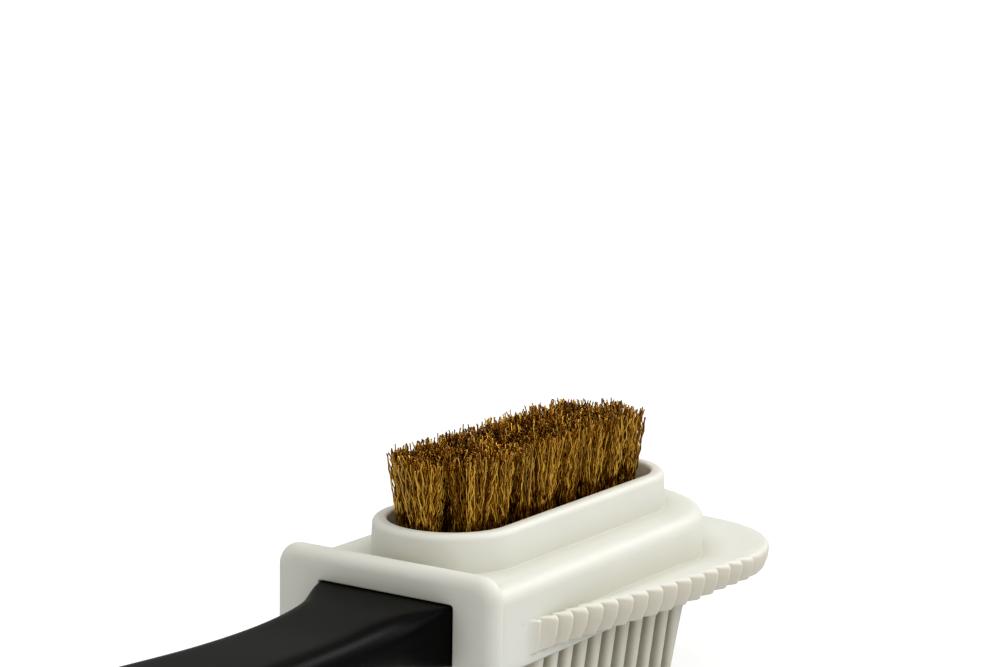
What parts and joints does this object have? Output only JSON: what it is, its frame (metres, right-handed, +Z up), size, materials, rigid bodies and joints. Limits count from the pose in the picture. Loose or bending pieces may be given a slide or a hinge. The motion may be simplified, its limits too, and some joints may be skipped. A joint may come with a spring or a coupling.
{
  "type": "suede brush",
  "caption": "Hand brush for suede and nubuck: brass wire tufts in a collar on top, a toothed rubber lip round the nose, rubber fins below and a flat handle with a hanging hole.",
  "frame": {"origin": "middle of the brush's outline at the height of the fin tips, on which it stands", "axes": "+X along the brush from the handle to the nose of the head, +Y across it, +Z up out of the wire bristles"},
  "size_m": [0.1674, 0.0464, 0.0379],
  "materials": {
    "head_rubber": "satin",
    "handle_plastic": "satin",
    "wire_brass": "satin",
    "anchor_brass": "satin"
  },
  "bodies": {
    "root": {"rubber_head": "head_rubber", "handle": "handle_plastic", "tuft_anchors": "anchor_brass", "tuft_right_1": "wire_brass", "tuft_right_2": "wire_brass", "tuft_right_3": "wire_brass", "tuft_right_4": "wire_brass", "tuft_right_5": "wire_brass", "tuft_right_6": "wire_brass", "tuft_right_7": "wire_brass", "tuft_right_8": "wire_brass", "tuft_middle_1": "wire_brass", "tuft_middle_2": "wire_brass", "tuft_middle_3": "wire_brass", "tuft_middle_4": "wire_brass", "tuft_middle_5": "wire_brass", "tuft_middle_6": "wire_brass", "tuft_middle_7": "wire_brass", "tuft_middle_8": "wire_brass", "tuft_middle_9": "wire_brass", "tuft_left_1": "wire_brass", "tuft_left_2": "wire_brass", "tuft_left_3": "wire_brass", "tuft_left_4": "wire_brass", "tuft_left_5": "wire_brass", "tuft_left_6": "wire_brass", "tuft_left_7": "wire_brass", "tuft_left_8": "wire_brass"}
  },
  "joints": []
}
